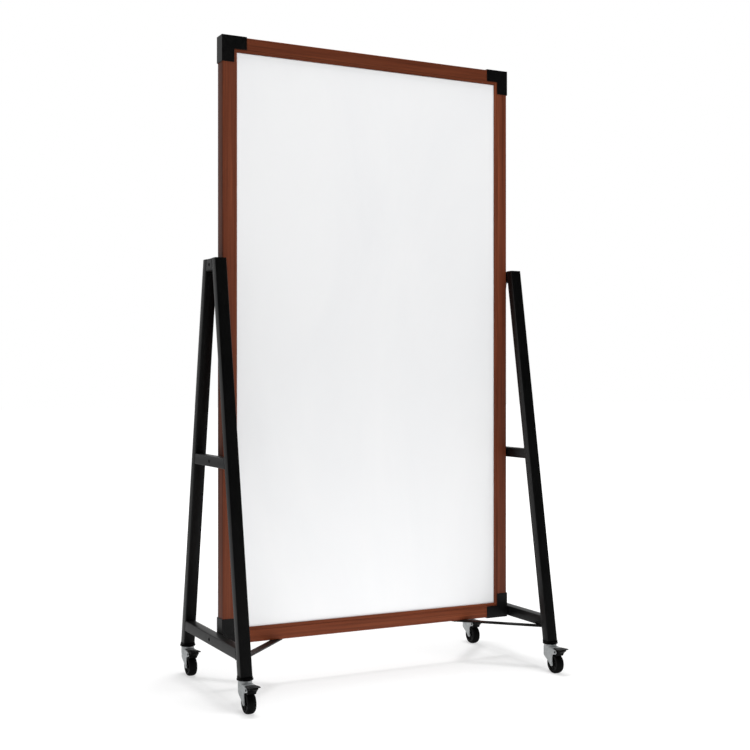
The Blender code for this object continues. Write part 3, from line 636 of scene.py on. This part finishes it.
def plug_mesh():
    """A front leg's plug: a round flange that flares up to a thin collar, and a body inside the leg."""
    top = LEG_FOOT_Z - CLEARANCE
    flange = [
        (FLANGE_RADIUS - SOFT_EDGE, PLUG_BOTTOM_Z),
        (FLANGE_RADIUS, PLUG_BOTTOM_Z + SOFT_EDGE),
        (FLANGE_RADIUS, top - SOFT_EDGE),
    ]
    rings = []
    for radius, z in flange:
        rings.append([(x, y, z) for x, y in squared_ring(radius, radius, 2, ROUND_STEPS)])
    for step in range(COLLAR_STEPS + 1):
        rise = step / COLLAR_STEPS
        rings.append(leaning_ring(collar_section(rise), top + COLLAR_HEIGHT * rise))
    socket = leg_section(CLEARANCE, LEG_CORNER + CLEARANCE)
    body = leg_section(-LEG_WALL - CLEARANCE, LEG_CORNER - LEG_WALL)
    bore = circle((0, 0), STEM_RADIUS + CLEARANCE)
    steps = [
        ("DIFFERENCE", loft("leg_socket", [leaning_ring(socket, z) for z in (top, top + SOCKET_HEIGHT)])),
        ("UNION", loft("plug_body", [leaning_ring(body, z) for z in (top - 0.001, PLUG_TOP_Z)])),
        ("DIFFERENCE", slab("stem_bore", bore, CUT_Z[0], STEM_TOP_Z + 0.001)),
    ]
    return combined("leg_end_plug", loft("plug_blank", rings), steps)


def foot_of_stem(corner):
    """The point on the floor under a caster's swivel axis."""
    place = middle(f"{corner}_stem")
    place.z = 0
    return place


def build_plugs():
    front = plug_mesh()
    rear = front.copy()
    rear.transform(Matrix.Rotation(math.pi, 4, "Z"))
    for corner in CORNERS:
        mesh = front if corner.startswith("front") else rear
        add_piece(f"{corner}_leg_end", mesh, foot_of_stem(corner), "plug", "stand", [f"{corner}_leg_plug"])


def crown_mesh():
    """The fork's round crown, which narrows below into the two side plates."""
    stations = []
    for x, z in arc((CROWN_RADIUS - CROWN_EDGE, CROWN_TOP_Z - CROWN_EDGE), CROWN_EDGE, 90, 0, 5):
        stations.append((z, x, x, 2.0))
    for step in range(SKIRT_STEPS + 1):
        turn = step / SKIRT_STEPS
        ease = turn * turn * (3 - 2 * turn)
        half_x = CROWN_RADIUS + (FORK_HALF_WIDTH - SOFT_EDGE - CROWN_RADIUS) * ease
        half_y = CROWN_RADIUS - SKIRT_TAPER * ease
        squareness = 2.0 + (SKIRT_SQUARENESS - 2.0) * ease
        stations.append((CROWN_SKIRT_Z - SKIRT_DROP * turn, half_x, half_y, squareness))
    rings = []
    for z, half_x, half_y, squareness in stations:
        rings.append([(x, y, z) for x, y in squared_ring(half_x, half_y, squareness, ROUND_STEPS)])
    return loft("crown", rings)


def fork_outline():
    """The fork from its side, as (y, z): its legs fall forwards to the axle, and its ears hold the pedal."""
    back = smooth_path([(0.0125, 0.0560), (0.0120, 0.0512), (0.0040, 0.0448), (-0.0075, 0.0375),
                        (-0.0165, 0.0300)])
    foot = arc((AXLE[0] + FOOT_BACK, AXLE[1]), FOOT_RADIUS, -45, -175, 16)
    front = smooth_path([(-0.0318, 0.0370), (-0.0310, 0.0465), (-0.0318, 0.0550), (-0.0350, 0.0590)])
    ear = arc(PIVOT, EAR_RADIUS, -80, -270, 24)
    top = [(-0.0368, PIVOT[1] + EAR_RADIUS), (BRIDGE_Y, 0.0768), (-0.0205, 0.0778)]
    return [(0.0110, 0.0778), (0.0125, 0.0765)] + back + foot + front + ear + top


def fork_room_mesh():
    """The space inside the fork for the wheel and the stem's head, with an arc inside the crown's back."""
    back, front, half, low = 0.05, -0.10, 0.03, -0.01  # well past the fork on every side
    roof = [(-0.0300, 0.0750), (-0.0118, 0.0758), (-0.0098, CROWN_TOP_Z - CROWN_TOP)]
    side = [(back, 0), (front, 0), (front, roof[0][1])] + roof + [(back, roof[-1][1])]
    crown_inner = CROWN_RADIUS - FORK_PLATE
    back_angle = math.degrees(math.acos(FORK_ROOM_HALF / crown_inner))
    plan = [(-FORK_ROOM_HALF, FAR_FRONT_Y), (FORK_ROOM_HALF, FAR_FRONT_Y)]
    plan += arc((0, 0), crown_inner, back_angle, 180 - back_angle, 24)
    steps = [("INTERSECT", slab("room_plan", plan, low, CUT_Z[1]))]
    return combined("fork_room", plate("room_side", side, -half, half), steps)


def fork_mesh():
    """A pressed fork: a crown blended into two side plates, bored for the stem, the axle and the pedal."""
    window = [(-FORK_ROOM_HALF, FAR_FRONT_Y), (FORK_ROOM_HALF, FAR_FRONT_Y)]
    window += [(FORK_ROOM_HALF, BRIDGE_Y), (-FORK_ROOM_HALF, BRIDGE_Y)]
    steps = [
        ("UNION", crown_mesh()),
        ("DIFFERENCE", fork_room_mesh()),
        ("DIFFERENCE", slab("pedal_window", window, *CUT_Z)),
        ("DIFFERENCE", slab("stem_hole", circle((0, 0), STEM_RADIUS + CLEARANCE), *CUT_Z)),
        ("DIFFERENCE", rod_x("axle_hole", AXLE_RADIUS + CLEARANCE, PIN_REACH, AXLE)),
        ("DIFFERENCE", rod_x("ear_hole", TRUNNION_RADIUS + CLEARANCE, PIN_REACH, PIVOT)),
    ]
    return combined("fork", plate("fork_blank", fork_outline(), -FORK_HALF_WIDTH, FORK_HALF_WIDTH), steps)


def axle_mesh():
    """The riveted axle through the fork along X, with a low dome and a small rim at each end."""
    shoulder = FORK_HALF_WIDTH + 0.0002
    rim = shoulder + RIVET_RIM
    half = [(AXLE_RADIUS, shoulder), (RIVET_RADIUS, shoulder)]
    for degrees in range(0, 90, 15):
        angle = math.radians(degrees)
        half.append((RIVET_RADIUS * math.cos(angle), rim + RIVET_RISE * math.sin(angle)))
    half.append((0, rim + RIVET_RISE))
    return turned("axle", mirrored(half), BORE_STEPS, "X")


def pedal_pin_mesh():
    """The two flat-domed ends of the pedal's pin, one on each ear's outer face."""
    low = FORK_HALF_WIDTH + 0.0001
    radius = PEDAL_PIN_RADIUS
    profile = [(0, low), (radius - 0.0002, low), (radius, low + 0.0003), (radius - 0.0005, low + 0.0008),
               (0, low + 0.0011)]
    both = bmesh.new()
    for turn in (90, -90):
        one = turned("pin_end", profile, BORE_STEPS)
        one.transform(Matrix.Rotation(math.radians(turn), 4, "Y"))
        both.from_mesh(one)
    return closed_mesh(both, "pedal_pin")


def wheel_centre_mesh():
    """The wheel's plastic centre about X: a recessed web, with a boss and ribs on both sides."""
    boss_end = FORK_ROOM_HALF - CLEARANCE
    rim = WHEEL_HALF_WIDTH - HUB_RECESS
    web = rim - WEB_DEPTH
    half = [
        (AXLE_RADIUS + CLEARANCE, boss_end),
        (BOSS_RADIUS - BOSS_EDGE, boss_end),
        (BOSS_RADIUS, boss_end - BOSS_EDGE),
        (BOSS_RADIUS + 0.0008, web),
        (HUB_RADIUS - HUB_RIM - 0.0012, web),
        (HUB_RADIUS - HUB_RIM, rim),
        (HUB_RADIUS, rim),
    ]
    low = BOSS_RADIUS + 0.0001
    high = HUB_RADIUS - HUB_RIM - CLEARANCE
    depth = rim - RIB_RECESS
    ribs = []
    for i in range(HUB_RIBS):
        outline = [(-RIB_HALF, low), (RIB_HALF, low), (RIB_HALF, high), (-RIB_HALF, high)]
        rib = plate("hub_rib", outline, -depth, depth)
        rib.transform(Matrix.Rotation(2 * math.pi * i / HUB_RIBS, 4, "X"))
        ribs.append(("UNION", rib))
    return combined("wheel_centre", turned("hub_blank", mirrored(half), ROUND_STEPS, "X"), ribs)


def tread_mesh():
    """The tread ring about X: well crowned, with round shoulders and a fine moulding line round it."""
    inner = HUB_RADIUS + CLEARANCE
    depth = WHEEL_RADIUS - SEAM_RISE - inner
    half = []
    for step in range(TREAD_STEPS):
        angle = math.radians(90 * step / TREAD_STEPS)
        across = WHEEL_HALF_WIDTH * math.cos(angle) ** TREAD_FULLNESS
        half.append((inner + depth * math.sin(angle) ** TREAD_FULLNESS, across))
    half += zip((inner + depth, WHEEL_RADIUS), SEAM_HALF_WIDTHS)
    return turned("tread", mirrored(half), ROUND_STEPS, "X")


def pedal_top(y):
    """Height of the pedal's top at y: almost level, and a little higher at its toe."""
    (back_y, back_z), (toe_y, toe_z) = PEDAL_BACK, PEDAL_TOE
    return back_z + (toe_z - back_z) * (y - back_y) / (toe_y - back_y)


def pedal_plate_mesh():
    """The pedal's top plate: narrow at its back, widest near its rounded toe."""
    back_half, half = PEDAL_HALF_WIDTHS
    corner_x = half - PEDAL_CORNER
    corner_y = PEDAL_TOE[0] + PEDAL_CORNER
    plan = [(back_half, PEDAL_BACK[0]), (half, PEDAL_WIDE_Y)]
    plan += arc((corner_x, corner_y), PEDAL_CORNER, 0, -90, 12)
    plan += arc((-corner_x, corner_y), PEDAL_CORNER, -90, -180, 12)
    plan += [(-half, PEDAL_WIDE_Y), (-back_half, PEDAL_BACK[0])]
    top = [(x, y, pedal_top(y)) for x, y in plan]
    return loft("pedal_plate", [top, [(x, y, z - PEDAL_PLATE) for x, y, z in top]])


def grip_mesh(y):
    """One low grip bar across the pedal's top, at y."""
    half = [(0.0008, -0.0010), (0.0008, 0.2 * GRIP_RISE), (0.0004, GRIP_RISE)]
    section = [(-across, up) for across, up in half] + half[::-1]
    outline = [(y + across, pedal_top(y) + up) for across, up in section]
    return plate("grip", outline, -GRIP_HALF_LENGTH, GRIP_HALF_LENGTH)


def pedal_body_outline():
    """The pedal's body from its side, as (y, z) from its pivot: a web that falls from the toe to a shoe."""
    web = smooth_path([(-0.0205, 0.0042), (-0.0160, 0.0022), (-0.0092, -0.0030), (-0.0068, -0.0068),
                       (-0.0050, -0.0100)], 4)
    shoe = [(-0.0024, -0.0122), (0.0002, -0.0116), (0.0055, -0.0040), (0.0090, 0.0010)]
    return [(0.0095, 0.0087), (-0.0205, 0.0100), *web, *shoe]


def pedal_mesh():
    """The brake pedal: a top plate with grip bars, a body with a shoe over the tread, and two trunnions."""
    body = [(PIVOT[0] + y, PIVOT[1] + z) for y, z in pedal_body_outline()]
    steps = [
        ("UNION", plate("pedal_body", body, -PEDAL_BODY_HALF_WIDTH, PEDAL_BODY_HALF_WIDTH)),
        ("UNION", rod_x("trunnion", TRUNNION_RADIUS, FORK_HALF_WIDTH - 0.0002, PIVOT)),
    ]
    steps += [("UNION", grip_mesh(y)) for y in GRIP_Y]
    return combined("pedal", pedal_plate_mesh(), steps)


def placed_at(place, mesh):
    """A mesh moved to a (y, z) place."""
    mesh.transform(Matrix.Translation((0, *place)))
    return mesh


def build_casters():
    """Every caster's own copies of the same six meshes. The pedal's pin stands for no CAD node."""
    pieces = (
        ("pressed_fork", fork_mesh(), "zinc", "fork_body", "fork", SOFT_EDGE),
        ("riveted_axle", placed_at(AXLE, axle_mesh()), "zinc", "fork_body", "axle", 0),
        ("pedal_pin", placed_at(PIVOT, pedal_pin_mesh()), "bolt", "fork_body", None, 0),
        ("wheel_centre", placed_at(AXLE, wheel_centre_mesh()), "hub", "wheel_body", "hub", SOFT_EDGE / 2),
        ("tread", placed_at(AXLE, tread_mesh()), "tyre", "wheel_body", "tyre", 0),
        ("pedal_lever", pedal_mesh(), "pedal", "pedal_body", "brake_pedal", SOFT_EDGE),
    )
    for corner in CORNERS:
        place = foot_of_stem(corner)
        for name, mesh, look, body, node, edge in pieces:
            nodes = [f"{corner}_{node}"] if node else []
            add_piece(f"{corner}_{name}", mesh, place, look, f"{corner}_{body}", nodes, edge)


# ---- finer corner caps ---------------------------------------------------------------------------
def cap_section(inset):
    """A cap's U-shaped section, (distance inwards from the board's outer edge, y), pressed in by inset."""
    side = CAP_SIDE_PROUD - inset
    face = CAP_HALF_DEPTH - inset
    reach = CAP_REACH - inset
    half = arc((CAP_ROUND - side, face - CAP_ROUND), CAP_ROUND, 180, 90, 5)
    half += arc((reach - CAP_LIP, face - CAP_LIP), CAP_LIP, 90, 0, 3)
    half += [(reach, HALF_THICKNESS + CLEARANCE), (-CLEARANCE, HALF_THICKNESS + CLEARANCE)]
    return half + [(inward, -y) for inward, y in reversed(half)]


def cap_mesh(name, corner_z, down_sign, bolt_z=None):
    """A right-hand corner cap with soft edges and a fine seam along its mitre."""
    arm = CAP_ARM - CAP_SIDE_PROUD
    rings = []

    def add_ring(inset, place):
        rings.append([place(d, y) for d, y in cap_section(inset)])

    for inset, back in ((SOFT_EDGE, 0), (0, SOFT_EDGE)):
        add_ring(inset, lambda d, y: (HALF_BOARD - arm + back, y, corner_z + down_sign * d))
    for inset, along_x, along_z in ((0, CAP_SEAM, 0), (CAP_SEAM, 0, 0), (0, 0, CAP_SEAM)):
        add_ring(inset, lambda d, y: (HALF_BOARD - d - along_x, y, corner_z + down_sign * (d + along_z)))
    for inset, back in ((0, SOFT_EDGE), (SOFT_EDGE, 0)):
        add_ring(inset, lambda d, y: (HALF_BOARD - d, y, corner_z + down_sign * (arm - back)))
    blank = loft(name, rings)
    if bolt_z is None:
        return blank
    hole = rod_x("bolt_hole", BOLT_HOLE_RADIUS, HALF_BOARD + 0.01, (0, bolt_z))
    return combined(name, blank, [("DIFFERENCE", hole)])


def build_caps():
    bolt_z = middle("right_lower_bolt").z
    top = cap_mesh("top_cap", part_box("top_rail")[1].z, -1)
    bottom = cap_mesh("bottom_cap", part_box("bottom_rail")[0].z, 1, bolt_z)
    for level, mesh in (("top", top), ("bottom", bottom)):
        for side, turn in (("right", 0), ("left", math.pi)):
            name = f"{level}_{side}"
            shape = mesh.copy()
            shape.transform(Matrix.Rotation(turn, 4, "Z"))
            add_piece(f"{name}_corner_guard", shape, (0, BOARD.y, 0), "cap", "stand", [f"{name}_cap"])


# ---- floor, light and camera ---------------------------------------------------------------------
class StudioNodes:
    """Short ways to add nodes to the floor's tree or the world's."""

    def __init__(self, tree):
        self.nodes = tree.nodes
        self.links = tree.links
        self.path = self.nodes.new("ShaderNodeLightPath")

    def smooth(self, value, span, levels):
        """The first level up to the span's start, the second from its end, and a soft change between."""
        node = self.nodes.new("ShaderNodeMapRange")
        node.interpolation_type = "SMOOTHSTEP"
        self.links.new(value, node.inputs["Value"])
        for key, number in zip(("From Min", "From Max", "To Min", "To Max"), (*span, *levels)):
            node.inputs[key].default_value = number
        return node.outputs["Result"]

    def choose(self, ray, otherwise, chosen):
        """One value for rays of that kind, and another for the rest."""
        node = self.nodes.new("ShaderNodeMix")
        node.data_type = "FLOAT"
        self.links.new(self.path.outputs[ray], node.inputs[0])
        for socket, value in ((node.inputs[2], otherwise), (node.inputs[3], chosen)):
            if isinstance(value, bpy.types.NodeSocket):
                self.links.new(value, socket)
            else:
                socket.default_value = value
        return node.outputs[0]


def make_floor():
    """A white sweep. It looks white all over, and throws most light back up near the board."""
    mesh = bpy.data.meshes.new("floor")
    signs = ((-1, -1), (1, -1), (1, 1), (-1, 1))
    mesh.from_pydata([(x * FLOOR_HALF, y * FLOOR_HALF, 0) for x, y in signs], [], [(0, 1, 2, 3)])
    floor = bpy.data.objects.new("floor", mesh)
    bpy.context.scene.collection.objects.link(floor)
    material = bpy.data.materials.new("pale_floor")
    material.use_nodes = True
    studio = StudioNodes(material.node_tree)
    nodes, links = studio.nodes, studio.links
    nodes.remove(nodes["Principled BSDF"])
    distance = nodes.new("ShaderNodeVectorMath")
    distance.operation = "LENGTH"
    links.new(nodes.new("ShaderNodeTexCoord").outputs["Object"], distance.inputs[0])
    seen = studio.smooth(distance.outputs["Value"], FLOOR_WHITE, (FLOOR_GLOW, 1.0))
    bounced = studio.smooth(distance.outputs["Value"], FLOOR_BOUNCE_FADE, FLOOR_BOUNCE)
    glow = nodes.new("ShaderNodeEmission")
    glow.inputs["Color"].default_value = grey(1.0)
    towards = nodes.new("ShaderNodeSeparateXYZ")
    links.new(nodes.new("ShaderNodeNewGeometry").outputs["Incoming"], towards.inputs[0])
    front, back = FRONT_TO_BACK
    shiny = studio.smooth(towards.outputs["Y"], (-front, -back), FLOOR_MIRRORED)
    thrown = studio.choose("Is Glossy Ray", bounced, shiny)
    links.new(studio.choose("Is Camera Ray", thrown, seen), glow.inputs["Strength"])
    matte = nodes.new("ShaderNodeBsdfDiffuse")
    matte.inputs["Color"].default_value = grey(FLOOR_MATTE)
    both = nodes.new("ShaderNodeAddShader")
    links.new(glow.outputs[0], both.inputs[0])
    links.new(matte.outputs[0], both.inputs[1])
    links.new(both.outputs[0], nodes["Material Output"].inputs["Surface"])
    mesh.materials.append(material)


def make_world():
    """White to the camera, an even dome for soft light, and a dark front for what surfaces mirror."""
    world = bpy.data.worlds.new("studio")
    bpy.context.scene.world = world
    world.use_nodes = True
    studio = StudioNodes(world.node_tree)
    nodes, links = studio.nodes, studio.links
    split = nodes.new("ShaderNodeSeparateXYZ")
    links.new(nodes.new("ShaderNodeTexCoord").outputs["Generated"], split.inputs[0])
    product = nodes.new("ShaderNodeMath")
    product.operation = "MULTIPLY"
    links.new(studio.smooth(split.outputs["Y"], FRONT_TO_BACK, MIRRORED_DOME), product.inputs[0])
    links.new(studio.smooth(split.outputs["X"], TO_THE_LEFT, MIRRORED_LEFT), product.inputs[1])
    soft = studio.choose("Is Glossy Ray", SOFT_DOME, product.outputs[0])
    background = nodes["Background"]
    background.inputs["Color"].default_value = grey(1.0)
    links.new(studio.choose("Is Camera Ray", soft, 1.0), background.inputs["Strength"])


def add_area(name, place, target, side, power):
    """A square soft box that lights surfaces without showing in their shine."""
    light = bpy.data.lights.new(name, "AREA")
    light.shape = "SQUARE"
    light.size = side
    light.energy = power
    lamp = bpy.data.objects.new(name, light)
    bpy.context.scene.collection.objects.link(lamp)
    lamp.location = place
    lamp.rotation_euler = (Vector(target) - Vector(place)).to_track_quat("-Z", "Y").to_euler()
    lamp.visible_glossy = False
    lamp.visible_camera = False


def make_lights():
    add_area("key", place=(1.2, -4.6, 3.0), target=(0, 0, 0.9), side=3.0, power=KEY_POWER)
    add_area("top", place=(0.0, 0.2, 4.6), target=(0, 0.03, 0), side=2.0, power=TOP_POWER)


def make_camera():
    camera = bpy.data.cameras.new("camera")
    camera.sensor_width = 36.0
    camera.lens = CAMERA_LENS
    camera.shift_y = CAMERA_SHIFT
    camera.clip_end = 200
    view = bpy.data.objects.new("camera", camera)
    bpy.context.scene.collection.objects.link(view)
    view.location = Vector((0, BOARD.y, 0)) + CAMERA_PLACE
    view.rotation_euler = (math.radians(90), 0, math.radians(CAMERA_TURN))
    bpy.context.scene.camera = view


build_casters()
build_plugs()
build_caps()
dress_frame()
make_floor()
make_world()
make_lights()
make_camera()
bpy.context.scene.view_settings.view_transform = "Standard"
